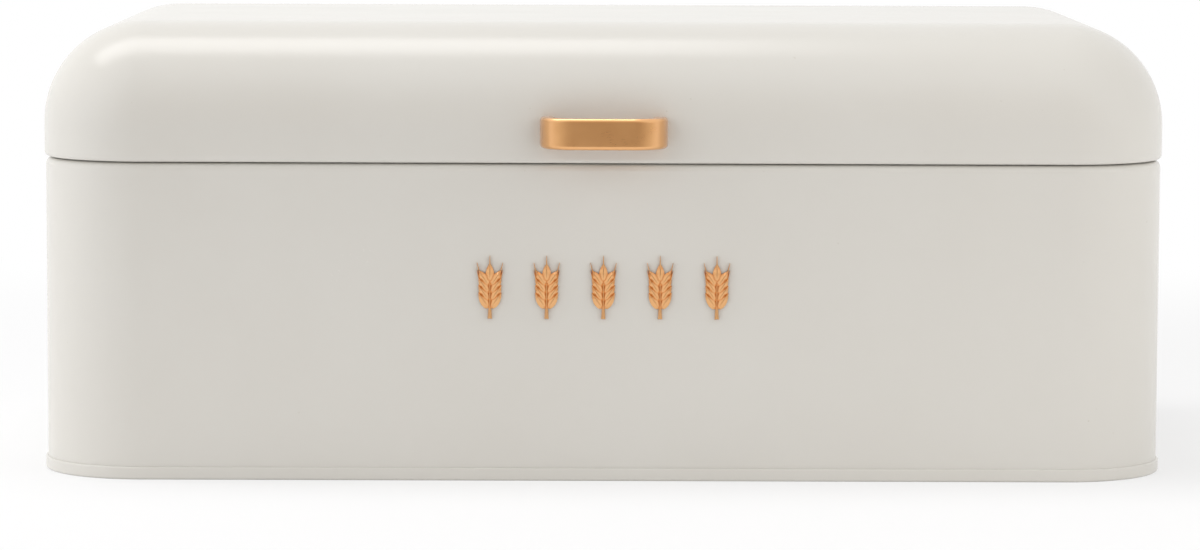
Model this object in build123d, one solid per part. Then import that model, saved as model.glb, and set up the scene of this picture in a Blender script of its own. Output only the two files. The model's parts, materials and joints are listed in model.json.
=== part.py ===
from build123d import *
import os
from math import sqrt

# Bread box in painted sheet steel: a tub with a seamed base, a deep-drawn lid on two stop hinges
# at the back, a copper-finished handle, and five copper-finished wheat ears pinned to the front.
# Millimetres. +X runs along the length, -Y is the front, +Z is up, z = 0 is the worktop.

# Tub
body_length = 420.0
body_depth = 228.0
corner_radius = 38.0  # in plan, on the outside of the tub's wall
body_sheet = 0.6
seam_height = 118.0  # where the lid meets the tub
shoulder_radius = 3.0
ledge_width = 0.4
neck_root_radius = 0.8
neck_height = 7.3  # above the ledge, to the top of its curl
neck_curl_radius = 1.3
neck_curl_turn = 270.0
lap_width = 8.0  # the upright seam at the back, where the wrapped sheet overlaps
lap_end_gap = 0.4

# Base
base_sheet = 0.8
seam_clearance = 0.05  # between the tub's wall and the fold of the base
rim_height = 4.8
rim_bend = 0.1  # inside the fold, as are the other bends of the sheet parts
floor_height = 3.6  # underside of the floor above the worktop
floor_bend = 0.4
step_inset = 14.0  # from the tub's wall to the pressed step in the floor
step_run = 3.0
step_rise = 1.5
step_bend = 2.0

# Lid
lid_sheet = 0.6
lid_overhang = 0.5
skirt_height = 13.0  # straight wall between the seam and the crown
top_corner_radius = 0.5  # in plan, of the flat top
hem_radius = 1.6
hem_turn = 200.0
hem_gap = 0.6  # between the rolled hem and the tub's shoulder

# Vents in the back wall
vent_radius = 2.5
vent_pitch = 12.0
vent_count = 5
vent_first_x = 30.0
vent_height = 92.0

# Hinges
hinge_spacing = 240.0
hinge_width = 38.0
middle_knuckle = 13.4
leaf_sheet = 1.0
pin_radius = 1.25
pin_clearance = 0.05  # running fit
knuckle_gap = 0.3
stop_gap = 0.3  # between the knuckles and whatever stands out furthest from the tub's back
roll_turn = 300.0
joggle_top = 1.2  # below the hinge's axis
joggle_height = 3.0
joggle_bend = 1.0
body_leaf_drop = 18.0
lid_leaf_margin = 0.6  # from the lid leaf's top edge to the start of the crown
leaf_corner = 3.0
pin_head_radius = 1.9
pin_head_height = 0.8
pin_head_chamfer = 0.25
pin_head_gap = 0.15
open_angle = 100.0
tongue_width = 5.0
tongue_length = 7.0
notch_margin = 0.3

# Rivets
rivet_radius = 1.5
rivet_clearance = 0.1
rivet_head_radius = 2.9
rivet_head_height = 1.1
rivet_head_chamfer = 0.7
rivet_tail_radius = 2.4
rivet_tail_height = 0.7
rivet_spacing = 24.0
body_rivet_drop = 12.5
lid_rivet_drop = 4.6  # below the lid leaf's top edge

# Handle
handle_width = 47.2
handle_height = 11.6
handle_drop = 1.15  # of its middle below the start of the crown
handle_reach = 14.2
handle_bend = 13.0
strap_thickness = 3.6
leg_thickness = 5.8
finger_bend = 5.5
handle_edge = 1.5
handle_seat_gap = 0.05

# Screws and washers of the handle
screw_radius = 1.5
screw_clearance = 0.1
screw_bite = 5.0
screw_hole_spare = 1.0  # of the blind hole past the screw's end
screw_head_radius = 3.0
screw_head_height = 2.2
screw_head_chamfer = 0.8
screw_slot_width = 1.0
screw_slot_depth = 1.1
screw_drop = 2.8  # below the start of the crown, where the wall is flat
wall_hole_clearance = 0.3
washer_radius = 3.5
washer_thickness = 0.6
washer_seat_gap = 0.05

# Wheat ears
ear_count = 5
ear_pitch = 21.0
ear_centre_height = 72.5
ear_height = 24.0
relief = 1.8
edge_height = 0.8  # of the upright sides, below the sloping facets
stem_width = 1.6
top_root = 1.6  # of the top grain, above the ear's middle
grain_length = 7.2
grain_width = 3.4
grain_stations = [(0, 0.2), (0.18, 0.86), (0.42, 1), (0.7, 0.7), (1, 0.08)]  # shares of length and width
grain_top = 0.3  # size of the flat on top, as a share of the grain
grain_pairs = 4
grain_pitch = 2.75
grain_tilt = 34.0
grain_root = 0.3  # sideways, from the stem's middle
awn_length = 3.2
awn_width = 0.5
awn_taper = 0.4  # width of its tip, as a share
awn_height = 1.1
awn_top = 0.5  # size of its top, as a share
awn_overlap = 0.5  # of an awn's foot with its grain's tip
awn_spread = 0.4  # tilt of a side awn, as a share of its grain's
awn_pairs = 2
ear_pin_radius = 0.8
ear_pin_length = 2.6  # past the inside of the wall
ear_pin_spread = 14.0
ear_hole_clearance = 0.15

# Push-on nuts of the wheat ears
nut_radius = 3.2
nut_thickness = 0.5
nut_collar_radius = 1.5
nut_collar_height = 0.5
nut_clearance = 0.02

# Sides of a drawn line on which a sheet's metal lies, as turns from its direction
side_turn = {"left": 90, "right": -90}

# Worked out from the sizes above
lid_radius = corner_radius + lid_overhang
crown_radius = lid_radius - top_corner_radius
crown_start = seam_height + skirt_height
total_height = crown_start + crown_radius
span_x = body_length / 2 - corner_radius
span_y = body_depth / 2 - corner_radius
lid_back = body_depth / 2 + lid_overhang
body_back = body_depth / 2
knuckle_radius = pin_radius + pin_clearance + leaf_sheet
axis_y = body_back + max(leaf_sheet, lid_overhang) + stop_gap + knuckle_radius
axis_z = seam_height
hinge_places = {"left": -hinge_spacing / 2, "right": hinge_spacing / 2}
ear_places = [(i - (ear_count - 1) / 2) * ear_pitch for i in range(ear_count)]


def strip(lines, thickness, side):
    """Section of a sheet: smooth lines are one face, and its metal lies to their left or right."""
    near = Wire(lines).order_edges()
    far = []
    for line in near:
        points = [line @ t + (line % t).rotate(Axis.Z, side_turn[side]) * thickness for t in (0, 0.5, 1)]
        straight = line.geom_type == GeomType.LINE
        far.append(Line(points[0], points[2]) if straight else ThreePointArc(*points))
    ends = [Line(near[0] @ 0, far[0] @ 0), Line(near[-1] @ 1, far[-1] @ 1)]
    return make_face(list(near) + far + ends)


def around(section):
    """Takes a section, drawn as distance from a corner's axis and height, round the whole plan."""
    centres = [(span_x, span_y), (-span_x, span_y), (-span_x, -span_y), (span_x, -span_y)]
    upright = Plane.XZ * section
    corner = revolve(upright, Axis.Z, 90)
    pieces = []
    for quarter in range(4):
        run = extrude(upright, 2 * (span_x if quarter % 2 else span_y), dir=(0, 1, 0))
        turn = Rot(0, 0, 90 * quarter)
        pieces.append(Pos(*centres[quarter - 1]) * turn * run)
        pieces.append(Pos(*centres[quarter]) * turn * corner)
    return Part() + pieces


def plate(radius, thickness, height):
    """Flat sheet inside a ring whose inner edge is this far from the corners' axes."""
    outline = RectangleRounded(2 * (span_x + radius), 2 * (span_y + radius), radius)
    return extrude(Pos(0, 0, height) * outline, thickness)


def along_y(x, z, start, sections):
    """A turned piece whose axis runs along +Y, from (length, radius) sections that follow on."""
    pieces = []
    for length, radius in sections:
        disc = Plane((x, start, z), x_dir=(1, 0, 0), z_dir=(0, 1, 0)) * Circle(radius)
        pieces.append(extrude(disc, length))
        start += length
    return Part() + pieces


def hem_centre():
    """Centre of the lid's rolled hem, which rests just clear of the tub's rounded shoulder."""
    sideways = shoulder_radius + lid_overhang - hem_radius
    rise = sqrt((hem_radius + shoulder_radius + hem_gap) ** 2 - sideways**2)
    return lid_radius - hem_radius, seam_height - shoulder_radius + rise


def body_shell():
    """The tub's wall: upright sheet, rounded shoulder, ledge and a neck with a curled edge."""
    ledge_x = corner_radius - shoulder_radius - ledge_width
    neck_x = ledge_x - neck_root_radius
    curl_z = seam_height + neck_height - neck_curl_radius
    root_z = seam_height + neck_root_radius
    foot = (corner_radius, base_sheet + seam_clearance)
    shoulder = (corner_radius, seam_height - shoulder_radius)
    lines = [
        Line(foot, shoulder),
        CenterArc((corner_radius - shoulder_radius, shoulder[1]), shoulder_radius, 0, 90),
        Line((corner_radius - shoulder_radius, seam_height), (ledge_x, seam_height)),
        CenterArc((ledge_x, root_z), neck_root_radius, 270, -90),
        Line((neck_x, root_z), (neck_x, curl_z)),
        CenterArc((neck_x - neck_curl_radius, curl_z), neck_curl_radius, 0, neck_curl_turn),
    ]
    shell = around(strip(lines, body_sheet, "left")) + back_lap()
    return shell - vents() - rivet_holes("body") - ear_holes()


def back_lap():
    """The sheet's outer end, lying over its inner end up the middle of the back."""
    bottom = rim_height + lap_end_gap
    height = seam_height - shoulder_radius - bottom
    return Pos(0, body_back + body_sheet / 2, bottom + height / 2) * Box(lap_width, body_sheet, height)


def vents():
    """Two rows of round holes through the back, one each side of the lap."""
    rows = []
    for side in (-1, 1):
        for i in range(vent_count):
            x = side * (vent_first_x + i * vent_pitch)
            start = body_back - 2 * body_sheet
            rows.append(along_y(x, vent_height, start, [(4 * body_sheet, vent_radius)]))
    return rows


def base_panel():
    """The base: its edge folds round the foot of the tub, and a pressed step stiffens the floor."""
    inner = corner_radius - body_sheet - seam_clearance - base_sheet
    outer = corner_radius + seam_clearance + base_sheet
    step = corner_radius - step_inset
    end = step - 2 * step_run
    fold = rim_bend + base_sheet
    path = FilletPolyline(
        (outer, rim_height),
        (outer, 0),
        (inner, 0),
        (inner, floor_height),
        (step, floor_height),
        (step - step_run, floor_height + step_rise),
        (end, floor_height + step_rise),
        radius=[fold, fold, floor_bend, step_bend + base_sheet, step_bend],
    )
    rim = around(strip(path.edges(), base_sheet, "right"))
    return rim + plate(end, base_sheet, floor_height + step_rise)


def lid_shell():
    """The lid: flat top, drawn crown, straight skirt and a hem rolled inwards."""
    hem_x, hem_z = hem_centre()
    lines = [
        CenterArc((top_corner_radius, crown_start), crown_radius, 90, -90),
        Line((lid_radius, crown_start), (lid_radius, hem_z)),
        CenterArc((hem_x, hem_z), hem_radius, 0, -hem_turn),
    ]
    shell = around(strip(lines, lid_sheet, "right"))
    shell += plate(top_corner_radius, lid_sheet, total_height - lid_sheet)
    return shell - rivet_holes("lid") - screw_holes(screw_radius + wall_hole_clearance)


def leaf(section, width):
    """A stretch of a hinge leaf: a section in the plane of Y and Z, centred along X."""
    return extrude(Plane.YZ * section, width / 2, both=True)


def corner_cutters(z, inward):
    """What comes off a leaf's two outer corners, whose metal lies above them (inward 1) or below (-1)."""
    depth = 8 * leaf_sheet
    cutters = []
    for side in (-1, 1):
        block = Box(2 * leaf_corner, depth, 2 * leaf_corner)
        block = Pos(side * leaf_corner, 0, -inward * leaf_corner) * block
        block -= Cylinder(leaf_corner, depth, rotation=(90, 0, 0))
        x = side * (hinge_width / 2 - leaf_corner)
        cutters.append(Pos(x, body_back, z + inward * leaf_corner) * block)
    return cutters


def body_leaf():
    """Leaf on the tub: joggled out to the lid's face and rolled into the two outer knuckles."""
    inner = axis_y - knuckle_radius
    rise = axis_z - joggle_top
    path = FilletPolyline(
        (body_back, axis_z - body_leaf_drop),
        (body_back, rise - joggle_height),
        (inner, rise),
        (inner, axis_z),
        radius=[joggle_bend + leaf_sheet, joggle_bend],
    )
    roll = CenterArc((axis_y, axis_z), knuckle_radius, 180, -roll_turn)
    whole = leaf(strip(list(path.edges()) + [roll], leaf_sheet, "right"), hinge_width)
    notch_bottom = rise - joggle_height - notch_margin
    notch_height = 2 * body_leaf_drop
    notch = Box(middle_knuckle + 2 * knuckle_gap, 4 * knuckle_radius, notch_height)
    whole -= Pos(0, axis_y, notch_bottom + notch_height / 2) * notch
    return whole - corner_cutters(axis_z - body_leaf_drop, 1)


def lid_leaf_top():
    return crown_start - lid_leaf_margin


def lid_leaf():
    """Leaf on the lid: its middle is rolled round the pin, and a tongue in it is the open stop."""
    clear = axis_z + knuckle_radius + knuckle_gap
    height = lid_leaf_top() - clear
    upper = Pos(0, lid_back + leaf_sheet / 2, clear + height / 2) * Box(hinge_width, leaf_sheet, height)
    upper -= corner_cutters(lid_leaf_top(), -1)
    inner = axis_y - knuckle_radius
    path = FilletPolyline(
        (lid_back, clear + leaf_sheet),
        (lid_back, axis_z + joggle_height),
        (inner, axis_z + joggle_top),
        (inner, axis_z),
        radius=[joggle_bend + leaf_sheet, joggle_bend],
    )
    lead = list(path.edges())
    roll = CenterArc((axis_y, axis_z), knuckle_radius, 180, roll_turn)
    wrap = CenterArc((axis_y, axis_z), knuckle_radius, 180, open_angle)
    tip = wrap @ 1 + (wrap % 1) * tongue_length
    rolled = leaf(strip(lead + [roll], leaf_sheet, "left"), middle_knuckle)
    slot = Box(tongue_width + 2 * knuckle_gap, 4 * knuckle_radius, 4 * knuckle_radius)
    rolled -= Pos(0, axis_y, axis_z) * slot
    tongue = leaf(strip(lead + [wrap, Line(wrap @ 1, tip)], leaf_sheet, "left"), tongue_width)
    return upper + rolled + tongue


def hinge_pin():
    """Headed pin through all three knuckles."""
    half = hinge_width / 2 + pin_head_gap
    shank = Cylinder(pin_radius, 2 * half, rotation=(0, 90, 0))
    head = Cylinder(pin_head_radius, pin_head_height, rotation=(0, 90, 0))
    head = chamfer(head.edges().group_by(Axis.X)[-1], pin_head_chamfer)
    head = Pos(half + pin_head_height / 2, 0, 0) * head
    return Pos(0, axis_y, axis_z) * (shank + head + head.mirror(Plane.YZ))


def rivet_centres(body):
    """Heights and sideways places of one leaf's two rivets, from the hinge's middle."""
    z = axis_z - body_rivet_drop if body == "body" else lid_leaf_top() - lid_rivet_drop
    return [(-rivet_spacing / 2, z), (rivet_spacing / 2, z)]


def rivets(body):
    """The two rivets of one leaf, with a round head outside and an upset tail inside."""
    wall_face = body_back if body == "body" else lid_back
    wall = body_sheet if body == "body" else lid_sheet
    made = []
    for x, z in rivet_centres(body):
        inside = wall_face - wall - rivet_tail_height
        tail = (rivet_tail_height, rivet_tail_radius)
        head = (rivet_head_height, rivet_head_radius)
        one = along_y(x, z, inside, [tail, (wall + leaf_sheet, rivet_radius), head])
        made.append(chamfer(one.edges().group_by(Axis.Y)[-1], rivet_head_chamfer))
    return made


def rivet_hole_cutters(body):
    reach = 4 * leaf_sheet
    radius = rivet_radius + rivet_clearance
    start = body_back - reach if body == "body" else lid_back - reach
    return [along_y(x, z, start, [(2 * reach, radius)]) for x, z in rivet_centres(body)]


def rivet_holes(body):
    """Holes for the rivets of both hinges, in the wall of the tub or the lid."""
    return [Pos(x, 0, 0) * cutter for x in hinge_places.values() for cutter in rivet_hole_cutters(body)]


def screw_places():
    """Sideways places of the handle's two screws, in the middle of its legs."""
    x = (handle_width - leg_thickness) / 2
    return [-x, x]


def screw_holes(radius):
    start = -lid_back - screw_bite
    length = screw_bite + 4 * lid_sheet
    return [along_y(x, crown_start - screw_drop, start, [(length, radius)]) for x in screw_places()]


def handle_rounding():
    """Radius of the handle's long edges, never more than its thinnest wall, round its bends, allows."""
    across = handle_bend - leg_thickness - finger_bend
    along = handle_bend - strap_thickness - finger_bend
    wall = handle_bend - finger_bend - sqrt(across**2 + along**2)
    return min(handle_edge, 0.47 * min(wall, strap_thickness))


def handle():
    """Loop handle: a flat strap with bent ends on two thicker legs, seated on the skirt and crown."""
    depth = handle_reach + crown_radius / 4
    outside = make_face(FilletPolyline(
        (-handle_width / 2, depth),
        (-handle_width / 2, 0),
        (handle_width / 2, 0),
        (handle_width / 2, depth),
        radius=handle_bend, close=False,
    ).edges() + [Line((handle_width / 2, depth), (-handle_width / 2, depth))])
    gap_half = handle_width / 2 - leg_thickness
    inside = make_face(FilletPolyline(
        (-gap_half, depth),
        (-gap_half, strap_thickness),
        (gap_half, strap_thickness),
        (gap_half, depth),
        radius=finger_bend, close=False,
    ).edges() + [Line((gap_half, depth), (-gap_half, depth))])
    loop = extrude(outside - inside, handle_height)
    rims = loop.faces().sort_by(Axis.Z)[0].edges() + loop.faces().sort_by(Axis.Z)[-1].edges()
    loop = fillet(rims - rims.group_by(Axis.Y)[-1], handle_rounding())
    loop = Pos(0, -lid_back - handle_reach, crown_start - handle_drop - handle_height / 2) * loop
    crown_axis = (0, crown_radius - lid_back, crown_start)
    crown = Cylinder(crown_radius + handle_seat_gap, 2 * handle_width, rotation=(0, 90, 0))
    skirt_depth = 2 * crown_radius
    skirt = Box(2 * handle_width, skirt_depth, 2 * crown_radius)
    loop -= Pos(*crown_axis) * crown
    loop -= Pos(0, skirt_depth / 2 - lid_back, crown_start - crown_radius) * skirt
    return loop - screw_holes(screw_radius + screw_clearance)


def handle_screws():
    """Pan-head screws from inside the lid into the handle's legs."""
    z = crown_start - screw_drop
    inner = -lid_back + lid_sheet + washer_seat_gap + washer_thickness
    shank = screw_bite - screw_hole_spare + inner + lid_back
    made = []
    for x in screw_places():
        one = along_y(x, z, inner - shank, [(shank, screw_radius), (screw_head_height, screw_head_radius)])
        one = chamfer(one.edges().group_by(Axis.Y)[-1], screw_head_chamfer)
        slot = Box(2 * screw_head_radius, screw_slot_depth, screw_slot_width)
        made.append(one - Pos(x, inner + screw_head_height - screw_slot_depth / 2, z) * slot)
    return made


def handle_washers():
    """Plain washers under the screw heads."""
    z = crown_start - screw_drop
    start = -lid_back + lid_sheet + washer_seat_gap
    made = []
    for x in screw_places():
        disc = along_y(x, z, start, [(washer_thickness, washer_radius)])
        made.append(disc - along_y(x, z, start, [(washer_thickness, screw_radius + screw_clearance)]))
    return made


def polygon(points):
    return Face(Wire.make_polygon(points, close=True))


def raised(outline, height, share):
    """Solid on an outline in the XY plane: upright sides, then flat sloping facets to a smaller top."""
    middle = (min(y for x, y in outline) + max(y for x, y in outline)) / 2
    low = [(x, y, 0) for x, y in outline]
    rim = [(x, y, edge_height) for x, y in outline]
    top = [(x * share, middle + (y - middle) * share, height) for x, y in outline]
    faces = [polygon(low), polygon(top)]
    for under, over in ((low, rim), (rim, top)):
        faces += [polygon([under[i - 1], under[i], over[i], over[i - 1]]) for i in range(len(outline))]
    return Part() + Solid(Shell(faces))


def pointed(length, width, stations):
    """Outline along Y from the origin, through shares of its length and its width."""
    right_side = [(width / 2 * across, length * along) for along, across in stations]
    return right_side + [(-x, y) for x, y in reversed(right_side)]


def wheat_ear():
    """One ear in relief, lying on the XY plane: stem, paired grains, a top grain, and awns at the top."""
    bottom = -ear_height / 2
    grain = raised(pointed(grain_length, grain_width, grain_stations), relief, grain_top)
    awn = raised(pointed(awn_length, awn_width, [(0, 1), (1, awn_taper)]), awn_height, awn_top)
    stem_length = top_root - bottom
    tip = grain_length - awn_overlap
    pieces = [Pos(0, bottom + stem_length / 2, edge_height / 2) * Box(stem_width, stem_length, edge_height)]
    pieces += [Pos(0, top_root, 0) * grain, Pos(0, top_root + tip, 0) * awn]
    for side in (-1, 1):
        for pair in range(grain_pairs):
            seat = Pos(side * grain_root, top_root - (pair + 0.5) * grain_pitch, 0)
            tilt = -side * grain_tilt
            pieces.append(seat * Rot(0, 0, tilt) * grain)
            if pair < awn_pairs:
                lean = Rot(0, 0, tilt * (awn_spread - 1))
                pieces.append(seat * Rot(0, 0, tilt) * Pos(0, tip, 0) * lean * awn)
    return Part() + pieces


def ear_pin_places():
    return [ear_centre_height - ear_pin_spread / 2, ear_centre_height + ear_pin_spread / 2]


def front_ear(x):
    """A wheat ear on the front wall, with two pins that pass through it."""
    front = Plane((x, -body_back, ear_centre_height), x_dir=(1, 0, 0), z_dir=(0, -1, 0))
    length = body_sheet + ear_pin_length
    root = edge_height / 2
    pins = [along_y(x, z, -body_back - root, [(length + root, ear_pin_radius)]) for z in ear_pin_places()]
    return front * wheat_ear() + pins


def ear_holes():
    radius = ear_pin_radius + ear_hole_clearance
    reach = 2 * body_sheet
    places = [(x, z) for x in ear_places for z in ear_pin_places()]
    return [along_y(x, z, -body_back - reach, [(2 * reach, radius)]) for x, z in places]


def push_nuts():
    """Push-on nuts that grip the ears' pins inside the tub."""
    start = -body_back + body_sheet
    length = nut_thickness + nut_collar_height
    sections = [(nut_thickness, nut_radius), (nut_collar_height, nut_collar_radius)]
    made = []
    for x in ear_places:
        for z in ear_pin_places():
            nut = along_y(x, z, start, sections)
            made.append(nut - along_y(x, z, start, [(length, ear_pin_radius + nut_clearance)]))
    return made


def nodes():
    """Every separate piece, or group of identical fasteners, by name."""
    yield "body_shell", body_shell()
    yield "base_panel", base_panel()
    yield "lid_shell", lid_shell()
    for side, x in hinge_places.items():
        place = Pos(x, 0, 0)
        yield f"hinge_{side}_body_leaf", place * (body_leaf() - rivet_hole_cutters("body"))
        yield f"hinge_{side}_lid_leaf", place * (lid_leaf() - rivet_hole_cutters("lid"))
        yield f"hinge_{side}_pin", place * hinge_pin()
        for body in ("body", "lid"):
            yield f"hinge_{side}_{body}_rivets", Compound(children=[place * one for one in rivets(body)])
    yield "handle", handle()
    yield "handle_screws", Compound(children=handle_screws())
    yield "handle_washers", Compound(children=handle_washers())
    for number, x in enumerate(ear_places, 1):
        yield f"front_motif_{number}", front_ear(x)
    yield "motif_push_nuts", Compound(children=push_nuts())


os.makedirs("parts", exist_ok=True)
for name, piece in nodes():
    export_step(piece, f"parts/{name}.step")
    print(name, len(piece.solids()), round(piece.volume, 1))
print("hinge axis at y", axis_y, "z", axis_z, "total height", total_height)
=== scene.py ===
import json
from math import cos, pi, radians, sin, sqrt

import bpy
from mathutils import Matrix, Vector


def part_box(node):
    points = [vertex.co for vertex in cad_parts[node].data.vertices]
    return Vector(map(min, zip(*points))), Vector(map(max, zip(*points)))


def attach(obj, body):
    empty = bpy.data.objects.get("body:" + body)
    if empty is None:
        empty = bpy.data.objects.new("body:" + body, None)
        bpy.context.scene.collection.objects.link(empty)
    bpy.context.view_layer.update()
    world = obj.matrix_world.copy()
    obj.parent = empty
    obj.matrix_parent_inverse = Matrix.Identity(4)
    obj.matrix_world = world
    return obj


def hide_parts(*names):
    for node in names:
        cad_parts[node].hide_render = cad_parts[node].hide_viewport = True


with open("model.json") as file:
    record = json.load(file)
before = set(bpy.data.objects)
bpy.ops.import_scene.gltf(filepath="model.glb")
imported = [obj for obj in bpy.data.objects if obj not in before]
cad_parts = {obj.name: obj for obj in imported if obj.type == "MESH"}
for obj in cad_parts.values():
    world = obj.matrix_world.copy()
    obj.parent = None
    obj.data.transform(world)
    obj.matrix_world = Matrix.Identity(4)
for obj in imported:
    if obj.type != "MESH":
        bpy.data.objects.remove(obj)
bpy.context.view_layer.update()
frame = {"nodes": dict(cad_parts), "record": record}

mm = 0.001
close = 0.01 * mm  # points nearer than this are one, and an edge that strays less runs level
smoothAngle = 32  # in degrees, as all but the camera's; faces that meet at more keep a sharp edge
tubLow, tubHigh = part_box("body_shell")
lidLow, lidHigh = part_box("lid_shell")
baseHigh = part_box("base_panel")[1]
handleLow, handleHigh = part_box("handle")

plan = {  # outline seen from above, the tub's outer wall
    "halfLength": tubHigh.x,
    "halfDepth": -tubLow.y,
    "cornerRadius": 38 * mm,
    "cornerSteps": 28,
}
spanX = plan["halfLength"] - plan["cornerRadius"]
spanY = plan["halfDepth"] - plan["cornerRadius"]


def startFresh():
    if bpy.context.object and bpy.context.object.mode != "OBJECT":
        bpy.ops.object.mode_set(mode="OBJECT")
    bpy.ops.object.select_all(action="DESELECT")


def pickEdges(piece, test):  # selects the edges whose middle and direction pass the test, in edit mode
    bpy.ops.object.mode_set(mode="OBJECT")
    mesh = piece.data
    for group in (mesh.vertices, mesh.edges, mesh.polygons):
        group.foreach_set("select", [False] * len(group))
    bpy.context.tool_settings.mesh_select_mode = (False, True, False)
    for edge in mesh.edges:
        first, second = [mesh.vertices[i].co for i in edge.vertices]
        edge.select = test((first + second) / 2, second - first)
    bpy.ops.object.mode_set(mode="EDIT")


def extrude(step):
    bpy.ops.mesh.extrude_region_move(TRANSFORM_OT_translate={"value": step})


def drawChain(name, points):  # a line of vertices, drawn point by point; leaves it open in edit mode
    startFresh()
    bpy.ops.mesh.primitive_plane_add(size=mm, location=points[0])
    piece = bpy.context.object
    piece.name = name
    bpy.ops.object.transform_apply(location=True, rotation=True, scale=True)
    bpy.ops.object.mode_set(mode="EDIT")
    bpy.context.tool_settings.mesh_select_mode = (True, False, False)
    bpy.ops.mesh.select_all(action="SELECT")
    bpy.ops.mesh.merge(type="CENTER")
    for before, after in zip(points, points[1:]):
        extrude(Vector(after) - Vector(before))
    return piece


def arc(centre, radius, start, turn, steps):  # (out, up) points of an arc, in degrees
    angles = [radians(start + turn * i / steps) for i in range(steps + 1)]
    return [(centre[0] + radius * cos(a), centre[1] + radius * sin(a)) for a in angles]


def sweepRound(name, section):  # takes a section of (out from the corner's axis, up) round the plan
    piece = drawChain(name, [(spanX + out, spanY, up) for out, up in section])
    corners = [(spanX, spanY), (-spanX, spanY), (-spanX, -spanY), (spanX, -spanY)]
    runs = [(-2 * spanX, 0, 0), (0, -2 * spanY, 0), (2 * spanX, 0, 0), (0, 2 * spanY, 0)]
    bpy.ops.mesh.select_all(action="SELECT")
    for (x, y), run in zip(corners, runs):
        bpy.ops.mesh.spin(steps=plan["cornerSteps"], angle=-pi / 2, center=(x, y, 0), axis=(0, 0, 1))
        extrude(run)
    bpy.ops.mesh.select_all(action="SELECT")
    bpy.ops.mesh.remove_doubles(threshold=close)
    bpy.ops.object.mode_set(mode="OBJECT")
    return piece


def facesOutward(piece, point, normal):  # turns every face if the one nearest this point looks inward
    bpy.ops.object.mode_set(mode="EDIT")
    bpy.ops.mesh.select_all(action="SELECT")
    bpy.ops.mesh.normals_make_consistent(inside=False)
    bpy.ops.object.mode_set(mode="OBJECT")
    nearest = min(piece.data.polygons, key=lambda face: (face.center - Vector(point)).length)
    if nearest.normal.dot(Vector(normal)) < 0:
        bpy.ops.object.mode_set(mode="EDIT")
        bpy.ops.mesh.select_all(action="SELECT")
        bpy.ops.mesh.flip_normals()
        bpy.ops.object.mode_set(mode="OBJECT")


def modify(piece, kind, **settings):  # adds a modifier and applies it
    modifier = piece.modifiers.new(kind.lower(), kind)
    for key, value in settings.items():
        setattr(modifier, key, value)
    bpy.context.view_layer.objects.active = piece
    bpy.ops.object.modifier_apply(modifier=modifier.name)


def thicken(piece, sheet):
    modify(piece, "SOLIDIFY", thickness=sheet, offset=-1, use_even_offset=True)


def smooth(piece, degrees=smoothAngle):
    startFresh()
    piece.select_set(True)
    bpy.context.view_layer.objects.active = piece
    bpy.ops.object.shade_smooth_by_angle(angle=radians(degrees))
    modify(piece, "WEIGHTED_NORMAL", keep_sharp=True)  # flat faces stay flat beside a bend
    startFresh()


def settle(piece, body, slotName, finish, *nodes):  # material, body, slot name, which is not used, and the CAD nodes it stands for
    piece.data.materials.clear()
    piece.data.materials.append(finish)
    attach(piece, body)
    if nodes:
        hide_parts(*nodes)


tub = {
    "sheet": 0.6 * mm,
    "foot": 0.85 * mm,  # height of the wall's lower edge
    "seam": 118 * mm,  # height of the ledge under the lid
    "shoulder": 3 * mm,  # radius of the bend under the seam
    "shoulderSteps": 8,
    "ledge": 0.4 * mm,  # its flat part
    "neckRoot": 0.8 * mm,  # radius where the neck leaves it
    "rootSteps": 4,
    "curl": 1.3 * mm,  # radius of the rolled top edge
    "curlTurn": 270,
    "curlSteps": 16,
    "ventRadius": 2.5 * mm,
    "ventSides": 40,
    "ventCut": 6 * mm,  # length of the cylinder that cuts a vent
    "ventFirst": 30 * mm,  # from the middle of the back
    "ventPitch": 12 * mm,
    "ventCount": 5,  # on each side of the middle
    "ventHeight": 92 * mm,
}


def makeTub(finish):
    shoulderOut = plan["cornerRadius"] - tub["shoulder"]
    ledgeOut = shoulderOut - tub["ledge"]
    neckOut = ledgeOut - tub["neckRoot"]
    shoulderCentre = (shoulderOut, tub["seam"] - tub["shoulder"])
    rootCentre = (ledgeOut, tub["seam"] + tub["neckRoot"])
    curlCentre = (neckOut - tub["curl"], tubHigh.z - tub["curl"])
    section = [(plan["cornerRadius"], tub["foot"])]
    section += arc(shoulderCentre, tub["shoulder"], 0, 90, tub["shoulderSteps"])
    section += arc(rootCentre, tub["neckRoot"], 270, -90, tub["rootSteps"])
    section += arc(curlCentre, tub["curl"], 0, tub["curlTurn"], tub["curlSteps"])
    piece = sweepRound("tub_wall", section)
    facesOutward(piece, (0, -plan["halfDepth"], tub["seam"] / 2), (0, -1, 0))
    thicken(piece, tub["sheet"])
    cutVents(piece)
    smooth(piece)
    settle(piece, "body", "cream_coat", finish, "body_shell")
    print("tub wall made")


def cutVents(piece):
    cutters = []
    for side in (-1, 1):
        for i in range(tub["ventCount"]):
            startFresh()
            x = side * (tub["ventFirst"] + i * tub["ventPitch"])
            bpy.ops.mesh.primitive_cylinder_add(
                vertices=tub["ventSides"], radius=tub["ventRadius"], depth=tub["ventCut"],
                location=(x, plan["halfDepth"], tub["ventHeight"]), rotation=(pi / 2, 0, 0))
            cutters.append(bpy.context.object)
    startFresh()
    for cutter in cutters:
        cutter.select_set(True)
    bpy.context.view_layer.objects.active = cutters[0]
    bpy.ops.object.join()
    modify(piece, "BOOLEAN", operation="DIFFERENCE", solver="EXACT", object=cutters[0])
    bpy.data.objects.remove(cutters[0])


lap = {
    "width": 8 * mm,
    "thickness": 0.6 * mm,
    "bottom": 5.2 * mm,  # just above the base's rim
    "edge": 0.2 * mm,
    "edgeSteps": 3,
}


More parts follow.
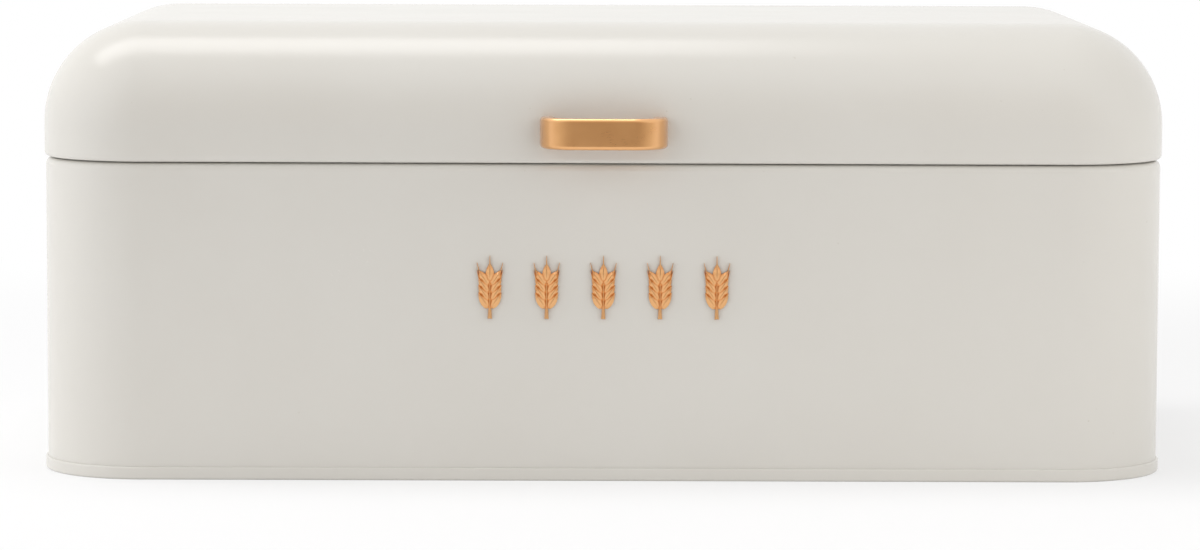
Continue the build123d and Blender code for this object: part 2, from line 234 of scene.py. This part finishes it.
def makeLap(finish):  # the wrapped sheet's outer end, up the middle of the back
    startFresh()
    top = tub["seam"] - tub["shoulder"]
    y = plan["halfDepth"] + lap["thickness"] / 2
    bpy.ops.mesh.primitive_cube_add(size=1, location=(0, y, (top + lap["bottom"]) / 2))
    piece = bpy.context.object
    piece.name = "back_lap"
    piece.scale = (lap["width"], lap["thickness"], top - lap["bottom"])
    bpy.ops.object.transform_apply(location=True, rotation=True, scale=True)
    pickEdges(piece, lambda middle, along: middle.y > y and abs(along.y) < close)
    bpy.ops.mesh.bevel(offset=lap["edge"], segments=lap["edgeSteps"], affect="EDGES")
    smooth(piece)
    settle(piece, "body", "cream_coat", finish)
    print("back lap made")


base = {
    "sheet": 0.8 * mm,
    "clearance": 0.05 * mm,  # between the tub's wall and the fold inside it
    "rimHeight": 4.8 * mm,
    "fold": 0.9 * mm,  # radius of both bends under the tub's wall
    "foldSteps": 6,
    "floor": 3.6 * mm,  # height of its underside
    "floorBend": 0.4 * mm,
    "bendSteps": 4,
    "stepInset": 12.5 * mm,  # from the tub's outer wall to the foot of the floor's pressed step
    "stepRun": 6 * mm,
    "stepRise": 1.5 * mm,
    "riseSteps": 8,
    "rimEdge": 0.7 * mm,  # rounding of the rim's outer edge, which catches the light
    "edgeSteps": 4,
    "crossing": 0.7,  # cosine to the outward direction above which an edge crosses the sheet
    "longEdge": 2 * mm,  # longer than any edge across the sheet
}


def makeBase(finish):
    outer = baseHigh.x - spanX
    inner = plan["cornerRadius"] - tub["sheet"] - base["clearance"] - base["sheet"]
    fold = base["fold"]
    bend = base["floorBend"]
    floor = base["floor"]
    stepFoot = plan["cornerRadius"] - base["stepInset"]
    section = [(outer, base["rimHeight"])]
    section += arc((outer - fold, fold), fold, 0, -90, base["foldSteps"])
    section += arc((inner + fold, fold), fold, 270, -90, base["foldSteps"])
    section += arc((inner - bend, floor - bend), bend, 0, 90, base["bendSteps"])
    for i in range(base["riseSteps"] + 1):  # the pressed step, which starts and ends level
        share = i / base["riseSteps"]
        lift = share * share * (3 - 2 * share)
        section.append((stepFoot - share * base["stepRun"], floor + lift * base["stepRise"]))
    piece = sweepRound("base_tray", section)
    raised = floor + base["stepRise"]
    pickEdges(piece, lambda middle, along: abs(middle.z - raised) < close)
    bpy.ops.mesh.edge_face_add()
    bpy.ops.object.mode_set(mode="OBJECT")
    facesOutward(piece, (0, -outer - spanY, base["rimHeight"] / 2), (0, -1, 0))
    thicken(piece, base["sheet"])
    roundRimEdge(piece)
    smooth(piece)
    settle(piece, "body", "cream_coat", finish, "base_panel")
    print("base made")


def isInner(point, radius):  # inside the rounded outline that lies this far from the corners' axes
    dx = max(abs(point.x) - spanX, 0)
    dy = max(abs(point.y) - spanY, 0)
    return sqrt(dx * dx + dy * dy) < radius


def roundRimEdge(piece):
    outside = baseHigh.x - spanX - base["sheet"] / 2

    def isRimEdge(middle, along):
        level = abs(middle.z - base["rimHeight"]) < close and abs(along.z) < close
        return level and not isInner(middle, outside) and isLengthwise(middle, along)

    pickEdges(piece, isRimEdge)
    bpy.ops.mesh.bevel(offset=base["rimEdge"], segments=base["edgeSteps"], affect="EDGES")
    bpy.ops.object.mode_set(mode="OBJECT")


def isLengthwise(middle, along):  # runs round the plan and not across the sheet
    out = Vector((max(abs(middle.x) - spanX, 0), max(abs(middle.y) - spanY, 0), 0))
    flat = Vector((abs(along.x), abs(along.y), 0))
    crossing = abs(out.normalized().dot(flat.normalized()))
    return crossing < base["crossing"] or flat.length > base["longEdge"]


lid = {
    "sheet": 0.6 * mm,
    "topCorner": 0.5 * mm,  # radius of the flat top's corners, seen from above
    "crownStart": 131 * mm,  # height at which the wall starts to round
    "crownSteps": 28,
    "hem": 1.6 * mm,  # radius of the edge rolled inward
    "hemTurn": 200,
    "hemSteps": 16,
}


def makeLid(finish):
    radius = lidHigh.x - spanX
    crown = lidHigh.z - lid["crownStart"]
    hemUp = lidLow.z + lid["hem"]
    section = arc((lid["topCorner"], lid["crownStart"]), crown, 90, -90, lid["crownSteps"])
    section += arc((radius - lid["hem"], hemUp), lid["hem"], 0, -lid["hemTurn"], lid["hemSteps"])
    piece = sweepRound("lid_drawn", section)
    top = lidHigh.z
    pickEdges(piece, lambda middle, along: abs(middle.z - top) < close)
    bpy.ops.mesh.edge_face_add()
    bpy.ops.object.mode_set(mode="OBJECT")
    facesOutward(piece, (0, 0, top), (0, 0, 1))
    thicken(piece, lid["sheet"])
    smooth(piece)
    settle(piece, "lid", "cream_coat", finish, "lid_shell")
    print("lid made")


handle = {
    "strap": 3.6 * mm,  # thickness of its front
    "leg": 5.8 * mm,  # and of its sides
    "bend": 13 * mm,  # outside of the strap's ends, seen from above
    "bendSteps": 16,
    "fingerBend": 5.5 * mm,  # and their inside
    "fingerSteps": 10,
    "edge": 1.5 * mm,
    "edgeSteps": 5,
    "seat": 0.4 * mm,  # into the lid's wall
    "smoothAngle": 38,
}


def makeHandle(finish):
    half = handleHigh.x
    front = handleLow.y
    overhang = lidHigh.x - tubHigh.x
    back = -plan["halfDepth"] - overhang + handle["seat"]
    bend = handle["bend"]
    inside = half - handle["leg"]
    finger = handle["fingerBend"]
    inner = front + handle["strap"] + finger
    outline = [(-half, back)]
    outline += arc((bend - half, front + bend), bend, 180, 90, handle["bendSteps"])
    outline += arc((half - bend, front + bend), bend, 270, 90, handle["bendSteps"])
    outline += [(half, back), (inside, back)]
    outline += arc((inside - finger, inner), finger, 0, -90, handle["fingerSteps"])
    outline += arc((finger - inside, inner), finger, 270, -90, handle["fingerSteps"])
    outline += [(-inside, back)]
    piece = drawChain("copper_handle", [(x, y, handleLow.z) for x, y in outline])
    bpy.ops.mesh.select_all(action="SELECT")
    bpy.ops.mesh.edge_face_add()
    bpy.ops.mesh.select_all(action="SELECT")
    extrude((0, 0, handleHigh.z - handleLow.z))
    bpy.ops.object.mode_set(mode="OBJECT")
    facesOutward(piece, (0, front, (handleLow.z + handleHigh.z) / 2), (0, -1, 0))
    pickEdges(piece, lambda middle, along: abs(along.z) < close and middle.y < back - close)
    bpy.ops.mesh.bevel(offset=handle["edge"], segments=handle["edgeSteps"], affect="EDGES")
    smooth(piece, handle["smoothAngle"])
    settle(piece, "lid", "copper_finish", finish, "handle")
    print("handle made")


ear = {
    "count": 5,
    "apart": 21 * mm,  # from one to the next
    "centre": 72.5 * mm,  # height of their middle
    "height": 24 * mm,
    "standOff": 0.25 * mm,  # dark gap between the ear and the wall
    "wall": 0.55 * mm,  # thickness of a form's upright sides, under its ridge
    "topRoot": 1.6 * mm,  # root of the top grain above the ear's middle
    "grain": {
        "length": 7.2 * mm,
        "width": 3.4 * mm,
        "relief": 1.55 * mm,  # from its flat back to its ridge
        "ridge": (0.12, 0.66),  # its width and length as shares of the outline's
        "pairs": 4,
        "pitch": 2.75 * mm,
        "tilt": 34,
        "edge": 0.12 * mm,
        "edgeSteps": 2,
    },
    "awn": {
        "length": 3.2 * mm,
        "width": 0.5 * mm,
        "tip": 1 / 3,  # width at its tip, as a share of the width at its root
        "relief": 0.77 * mm,
        "ridge": (0.3, 0.9),
        "pairs": 2,
        "spread": 0.4,  # tilt of a side awn, as a share of its grain's
        "root": 0.93,  # where it leaves its grain, as a share of the grain's length
    },
    "stem": {
        "width": 1.1 * mm,
        "relief": 1.24 * mm,
        "ridge": (0.3, 0.96),
        "footWidth": 1.5,  # as a share of the stem's
        "footHeight": 4 * mm,
    },
    "smoothAngle": 24,
}
earBack = -plan["halfDepth"] - ear["standOff"]  # where the flat backs of the ears lie


def raisedForm(name, outline, form):  # a flat outline raised to a ridge, on the front
    heights = [v for u, v in outline]
    middle = (min(heights) + max(heights)) / 2
    narrow, shorten = form["ridge"]
    piece = drawChain(name, [(u, earBack, v) for u, v in outline])
    bpy.ops.mesh.select_all(action="SELECT")
    bpy.ops.mesh.edge_face_add()
    bpy.ops.mesh.select_all(action="SELECT")
    extrude((0, -ear["wall"], 0))
    extrude((0, ear["wall"] - form["relief"], 0))
    bpy.ops.transform.resize(value=(narrow, 1, shorten), center_override=(0, earBack, middle))
    bpy.ops.object.mode_set(mode="OBJECT")
    facesOutward(piece, (0, earBack - form["relief"], middle), (0, -1, 0))
    return piece


def grainOutline():  # its right side from the root up, as shares of width and length, then its left
    shares = [(0, 0), (0.3, 0.06), (0.44, 0.18), (0.5, 0.36),
              (0.46, 0.54), (0.34, 0.72), (0.17, 0.88), (0, 1)]
    right = [(u * ear["grain"]["width"], v * ear["grain"]["length"]) for u, v in shares]
    return right + [(-u, v) for u, v in reversed(right[1:-1])]


def awnOutline():
    length = ear["awn"]["length"]
    half = ear["awn"]["width"] / 2
    tip = half * ear["awn"]["tip"]
    return [(-half, 0), (half, 0), (tip, length), (-tip, length)]


def stemOutline():
    top = ear["topRoot"]
    bottom = -ear["height"] / 2
    waist = bottom + ear["stem"]["footHeight"]
    half = ear["stem"]["width"] / 2
    foot = half * ear["stem"]["footWidth"]
    return [(-foot, bottom), (foot, bottom), (half, waist), (half, top), (-half, top), (-half, waist)]


def makeGrain():
    grain = raisedForm("grain", grainOutline(), ear["grain"])
    pickEdges(grain, lambda middle, along: middle.y < earBack - ear["wall"] / 2)
    bpy.ops.mesh.bevel(offset=ear["grain"]["edge"], segments=ear["grain"]["edgeSteps"], affect="EDGES")
    bpy.ops.object.mode_set(mode="OBJECT")
    return grain


def placeCopy(source, tilt, u, v):  # a copy with its own mesh, turned in the wall's plane about its root
    copy = source.copy()
    copy.data = source.data.copy()
    bpy.context.scene.collection.objects.link(copy)
    copy.data.transform(Matrix.Translation((u, 0, v)) @ Matrix.Rotation(radians(tilt), 4, "Y"))
    return copy


def makeOneEar():  # in the wall's middle, at height 0
    grain = makeGrain()
    awn = raisedForm("awn", awnOutline(), ear["awn"])
    stem = raisedForm("stem", stemOutline(), ear["stem"])
    reach = ear["awn"]["root"] * ear["grain"]["length"]
    parts = [placeCopy(stem, 0, 0, 0), placeCopy(grain, 0, 0, ear["topRoot"])]
    parts.append(placeCopy(awn, 0, 0, ear["topRoot"] + reach))
    for side in (-1, 1):
        tilt = side * ear["grain"]["tilt"]
        root = side * ear["stem"]["width"] / 4
        for pair in range(ear["grain"]["pairs"]):
            v = ear["topRoot"] - (pair + 0.5) * ear["grain"]["pitch"]
            parts.append(placeCopy(grain, tilt, root, v))
            if pair < ear["awn"]["pairs"]:
                tipOut = root + reach * sin(radians(tilt))
                tipUp = v + reach * cos(radians(tilt))
                parts.append(placeCopy(awn, tilt * ear["awn"]["spread"], tipOut, tipUp))
    startFresh()
    for part in parts:
        part.select_set(True)
    bpy.context.view_layer.objects.active = parts[0]
    bpy.ops.object.join()
    for source in (grain, awn, stem):
        bpy.data.objects.remove(source)
    return bpy.context.object


def makeEars(finish):
    whole = makeOneEar()
    whole.name = "wheat_ear"
    smooth(whole, ear["smoothAngle"])
    for i in range(ear["count"]):
        x = (i - (ear["count"] - 1) / 2) * ear["apart"]
        one = placeCopy(whole, 0, x, ear["centre"])
        one.name = f"wheat_ear_{i + 1}"
        settle(one, "body", "copper_finish", finish, f"front_motif_{i + 1}")
    bpy.data.objects.remove(whole)
    print("wheat ears made")


class Signal:  # a number or colour on its way through a material's nodes
    def __init__(self, sheet, socket):
        self.sheet = sheet
        self.socket = socket

    def math(self, operation, first, second):
        return self.sheet.node("ShaderNodeMath", {"operation": operation}, {0: first, 1: second})

    def __add__(self, other):
        return self.math("ADD", self, other)

    def __sub__(self, other):
        return self.math("SUBTRACT", self, other)

    def __rsub__(self, other):
        return self.math("SUBTRACT", other, self)

    def __mul__(self, other):
        return self.math("MULTIPLY", self, other)

    __radd__ = __add__
    __rmul__ = __mul__


class NodeSheet:  # the nodes of a material or of the world
    def __init__(self, owner):
        owner.use_nodes = True
        self.tree = owner.node_tree

    def node(self, kind, settings=None, inputs=None, output=0):
        made = self.tree.nodes.new(kind)
        for key, value in (settings or {}).items():
            if key == "stops":
                self.setStops(made.color_ramp, value)
            else:
                setattr(made, key, value)
        for key, value in (inputs or {}).items():
            self.feed(made.inputs[key], value)
        return Signal(self, made.outputs[output])

    def setStops(self, ramp, stops):  # the two stops that a new ramp has
        for element, (position, level) in zip(ramp.elements, stops):
            element.position = position
            element.color = (level, level, level, 1)

    def feed(self, socket, value):
        if isinstance(value, Signal):
            self.tree.links.new(value.socket, socket)
        else:
            socket.default_value = value

    def higher(self, first, second):  # the larger of two numbers
        return self.node("ShaderNodeMath", {"operation": "MAXIMUM"}, {0: first, 1: second})

    def number(self, factor, first, second):  # between two numbers
        return self.node("ShaderNodeMix", None, {0: factor, 2: first, 3: second})

    def mix(self, factor, first, second):  # of two colours
        return self.node("ShaderNodeMix", {"data_type": "RGBA"}, {0: factor, 6: first, 7: second}, 2)

    def rise(self, value, start, end, low=0, high=1):  # smoothly from low to high
        inputs = {"Value": value, "From Min": start, "From Max": end, "To Min": low, "To Max": high}
        return self.node("ShaderNodeMapRange", {"interpolation_type": "SMOOTHSTEP"}, inputs)

    def alongY(self, vector):
        return self.node("ShaderNodeSeparateXYZ", None, {0: vector}, "Y")


class Finish(NodeSheet):
    def __init__(self, name, **fixed):
        self.material = bpy.data.materials.new(name)
        super().__init__(self.material)
        self.shader = self.tree.nodes["Principled BSDF"]
        self.place = self.node("ShaderNodeTexCoord", output="Object")
        self.dress(**fixed)

    def dress(self, **values):  # sockets of the shader, named with words joined by _
        for key, value in values.items():
            self.feed(self.shader.inputs[key.replace("_", " ")], value)

    def noise(self, size, detail, stretch=(1, 1, 1)):  # size of its features in metres
        mapped = self.node("ShaderNodeMapping", None, {"Vector": self.place, "Scale": stretch})
        inputs = {"Vector": mapped, "Scale": 1 / size, "Detail": detail}
        return self.node("ShaderNodeTexNoise", None, inputs)

    def ramp(self, value, stops):
        return self.node("ShaderNodeValToRGB", {"stops": stops}, {0: value})

    def bump(self, height, distance, normal=None):
        inputs = {"Height": height, "Distance": distance, "Strength": 1.0}
        if normal:
            inputs["Normal"] = normal
        return self.node("ShaderNodeBump", None, inputs)


def colour(red, green, blue):  # from 0 to 255, as a colour picker shows it
    levels = [c / 255 for c in (red, green, blue)]
    linear = [c / 12.92 if c <= 0.04045 else ((c + 0.055) / 1.055) ** 2.4 for c in levels]
    return (*linear, 1)


def sway(noise, amount):  # to both sides of nought
    return amount * (noise - 0.5)


coat = {
    "light": colour(220, 218, 212),
    "deep": colour(216, 213, 206),
    "patchSize": 60 * mm,
    "speck": colour(196, 190, 178),
    "speckSize": 2.2 * mm,
    "speckStops": [(0.80, 0), (0.86, 1)],
    "speckShare": 0.5,
    "roughness": 0.25,
    "patchShine": 0.06,  # how much the roughness changes with the patches
    "peelSize": 0.9 * mm,
    "peelShine": 0.05,
    "peelDepth": 0.012 * mm,
    "waveSize": 9 * mm,
    "waveDepth": 0.03 * mm,
}


def creamCoat():
    finish = Finish("cream_powder_coat", Specular_IOR_Level=0.5)
    patches = finish.noise(coat["patchSize"], detail=3)
    tone = finish.mix(patches, coat["deep"], coat["light"])
    specks = finish.ramp(finish.noise(coat["speckSize"], detail=1), coat["speckStops"])
    finish.dress(Base_Color=finish.mix(coat["speckShare"] * specks, tone, coat["speck"]))
    peel = finish.noise(coat["peelSize"], detail=2)
    waves = finish.noise(coat["waveSize"], detail=1)
    patchy = coat["roughness"] + sway(patches, coat["patchShine"])
    finish.dress(Roughness=patchy + sway(peel, coat["peelShine"]))
    wide = finish.bump(waves, coat["waveDepth"])
    finish.dress(Normal=finish.bump(peel, coat["peelDepth"], wide))
    return finish.material


copper = {
    "light": colour(242, 186, 124),
    "deep": colour(234, 172, 110),
    "cloudSize": 7 * mm,
    "roughness": 0.3,
    "cloudShine": 0.1,  # how much the roughness changes with the clouds
    "grain": 0.18 * mm,
    "grainStretch": (0.06, 1, 1),
    "grainShine": 0.08,
    "grainDepth": 0.004 * mm,
    "lacquerRoughness": 0.12,
}


def copperPlate():
    rough = copper["lacquerRoughness"]
    finish = Finish("satin_copper_plate", Metallic=1.0, Coat_Weight=1.0, Coat_Roughness=rough)
    clouds = finish.noise(copper["cloudSize"], detail=3)
    grain = finish.noise(copper["grain"], detail=2, stretch=copper["grainStretch"])
    finish.dress(Base_Color=finish.mix(clouds, copper["deep"], copper["light"]))
    cloudy = copper["roughness"] + sway(clouds, copper["cloudShine"])
    finish.dress(Roughness=cloudy + sway(grain, copper["grainShine"]))
    finish.dress(Normal=finish.bump(grain, copper["grainDepth"]))
    return finish.material


zincPlate = {
    "light": colour(190, 190, 192),
    "deep": colour(168, 169, 172),
    "roughness": 0.34,
    "grain": 0.3 * mm,
    "stretch": (0.1, 1, 1),
}
rawAluminium = {
    "light": colour(205, 205, 207),
    "deep": colour(188, 188, 190),
    "roughness": 0.38,
    "grain": 0.4 * mm,
    "stretch": (1, 1, 1),
}
spangle = {  # of both plain metals
    "size": 4 * mm,
    "shine": 0.14,
    "grainShine": 0.1,
    "grainDepth": 0.006 * mm,
}


def plainMetal(name, look):
    finish = Finish(name, Metallic=1.0)
    patches = finish.noise(spangle["size"], detail=4)
    lines = finish.noise(look["grain"], detail=2, stretch=look["stretch"])
    finish.dress(Base_Color=finish.mix(patches, look["deep"], look["light"]))
    patchy = look["roughness"] + sway(patches, spangle["shine"])
    finish.dress(Roughness=patchy + sway(lines, spangle["grainShine"]))
    finish.dress(Normal=finish.bump(lines, spangle["grainDepth"]))
    return finish.material


view = {  # angles in radians
    "place": (-8.3 * mm, -1800 * mm, 245.3 * mm),
    "pitch": 0.09956,
    "yaw": 0.00417,
    "roll": 0.00377,
    "lens": 137.38,  # in millimetres, for a sensor this wide
    "sensor": 36,
    "farthest": 30,  # in metres
}


def makeCamera():
    camera = bpy.data.objects.new("camera", bpy.data.cameras.new("camera"))
    bpy.context.scene.collection.objects.link(camera)
    turn = Matrix.Rotation(-view["yaw"], 4, "Z") @ Matrix.Rotation(pi / 2 - view["pitch"], 4, "X")
    camera.matrix_world = Matrix.Translation(view["place"]) @ turn @ Matrix.Rotation(view["roll"], 4, "Z")
    camera.data.lens = view["lens"]
    camera.data.sensor_width = view["sensor"]
    camera.data.clip_end = view["farthest"]
    bpy.context.scene.camera = camera


room = {
    "fill": 0.67,  # its light on the object, where 1 is white
    "behindCamera": 0.16,  # the same in the dark part behind the camera
    "mirrored": 0.54,  # that dark part as glossy surfaces mirror it
    "darkStart": 0.55,  # how far a direction turns to the camera's side, where 1 is straight back
    "darkFull": 0.97,
    "warmLight": (1, 0.93, 0.85, 1),  # tint of the light from that part
    "warmMirrored": (1, 0.84, 0.68, 1),  # and of its mirror image
}
white = (1, 1, 1, 1)
softboxes = {  # places and sizes in metres, power in watts
    "top_softbox": {
        "place": (-0.5, 0.1, 1.25),
        "aim": (-0.5, 0.07, 0.1),
        "size": (1.2, 0.5),
        "power": 6.3,
        "tint": (1, 0.99, 0.985),
        "mirrored": True,
    },
    "left_softbox": {
        "place": (-1.3, -0.6, 0.55),
        "aim": (0, 0, 0.08),
        "size": (2.2, 1.4),
        "power": 10.65,
        "tint": (0.995, 0.99, 1),
        "mirrored": False,  # its mirror image on the lid would be plain white from the side
    },
    "right_softbox": {
        "place": (0.62, -0.5, 0.3),
        "aim": (0.2, 0, 0.08),
        "size": (0.8, 0.8),
        "power": 2.04,
        "tint": (1, 0.97, 0.94),
        "mirrored": False,  # the same, from behind
    },
}
stage = {  # the floor, with its distances in metres
    "size": 16,
    "roughness": 0.9,
    "shine": 0.1,
    "front": (0.32, 0.32, 0.32, 1),  # the dark floor on the camera's side
    "back": (0.88, 0.88, 0.885, 1),
    "frontEnd": -1.1,
    "backStart": -0.45,
    "squash": (0.55, 1, 0),  # makes the shade's outline an oval, longer from left to right
    "shadeStart": 0.3,
    "shadeEnd": 0.75,
    "nearWhite": 0.58,  # share of the floor near the object that takes no shade
}


def addLamp(name, place, aim, size, power, tint, mirrored):  # mirrored: whether glossy surfaces show it
    lamp = bpy.data.lights.new(name, "AREA")
    lamp.shape = "RECTANGLE"
    lamp.size, lamp.size_y = size
    lamp.energy = power
    lamp.color = tint
    holder = bpy.data.objects.new(name, lamp)
    bpy.context.scene.collection.objects.link(holder)
    holder.location = place
    holder.visible_camera = False
    holder.visible_glossy = mirrored
    holder.rotation_euler = (Vector(aim) - Vector(place)).to_track_quat("-Z", "Y").to_euler()


def seenWhite(sheet):  # 1 for rays from the camera, mirrored or passed on, then 1 for the camera's alone
    names = ("Is Camera Ray", "Is Glossy Ray", "Is Transmission Ray")
    camera, glossy, passing = [sheet.node("ShaderNodeLightPath", output=name) for name in names]
    return sheet.higher(sheet.higher(camera, glossy), passing), camera


def makeRoom():
    scene = bpy.context.scene
    scene.view_settings.view_transform = "Standard"
    world = bpy.data.worlds.new("studio")
    scene.world = world
    sheet = NodeSheet(world)
    seen, camera = seenWhite(sheet)
    behind = sheet.number(seen, room["behindCamera"], room["mirrored"])
    backward = sheet.alongY(sheet.node("ShaderNodeTexCoord", output="Generated")) * -1
    dark = sheet.rise(backward, room["darkStart"], room["darkFull"]) * (1 - camera)
    plain = sheet.number(seen, room["fill"], 1.0)
    background = world.node_tree.nodes["Background"]
    sheet.feed(background.inputs["Strength"], sheet.number(dark, plain, behind))
    warmth = sheet.mix(seen, room["warmLight"], room["warmMirrored"])
    sheet.feed(background.inputs["Color"], sheet.mix(dark, white, warmth))


def makeFloor():
    startFresh()
    bpy.ops.mesh.primitive_plane_add(size=stage["size"], location=(0, 0, 0))
    floor = bpy.context.object
    floor.name = "floor"
    finish = Finish("floor_white", Roughness=stage["roughness"], Specular_IOR_Level=stage["shine"])
    seen, camera = seenWhite(finish)
    ahead = finish.rise(finish.alongY(finish.place), stage["frontEnd"], stage["backStart"])
    finish.dress(Base_Color=finish.mix(ahead, stage["front"], stage["back"]))
    squashed = {0: finish.place, 1: stage["squash"]}
    flat = finish.node("ShaderNodeVectorMath", {"operation": "MULTIPLY"}, squashed)
    away = finish.node("ShaderNodeVectorMath", {"operation": "LENGTH"}, {0: flat}, "Value")
    far = finish.rise(away, stage["shadeStart"], stage["shadeEnd"], stage["nearWhite"], 1)
    glow = finish.node("ShaderNodeEmission", None, {"Color": white, "Strength": 1.0})
    lit = Signal(finish, finish.shader.outputs[0])
    shown = finish.number(camera, ahead * seen, 1.0)
    mixed = finish.node("ShaderNodeMixShader", None, {0: far * shown, 1: lit, 2: glow})
    finish.feed(finish.tree.nodes["Material Output"].inputs["Surface"], mixed)
    floor.data.materials.append(finish.material)


def makeStudio():
    makeRoom()
    for name, values in softboxes.items():
        addLamp(name, **values)
    makeFloor()
    print("studio made")


makeCamera()
makeStudio()
cream = creamCoat()
copperFinish = copperPlate()
zinc = plainMetal("zinc_plated_steel", zincPlate)
aluminium = plainMetal("plain_aluminium", rawAluminium)
makeTub(cream)
makeLap(cream)
makeBase(cream)
makeLid(cream)
makeHandle(copperFinish)
makeEars(copperFinish)

nodeFinishes = {
    "hinge_steel": zinc,
    "rivet_aluminium": aluminium,
    "screw_steel": zinc,
    "copper_finish": copperFinish,
    "cream_coat": cream,
}
for part in frame["record"]["subparts"]:
    node = frame["nodes"][part["node"]]
    node.data.materials.clear()
    node.data.materials.append(nodeFinishes[part["material_slot"]])
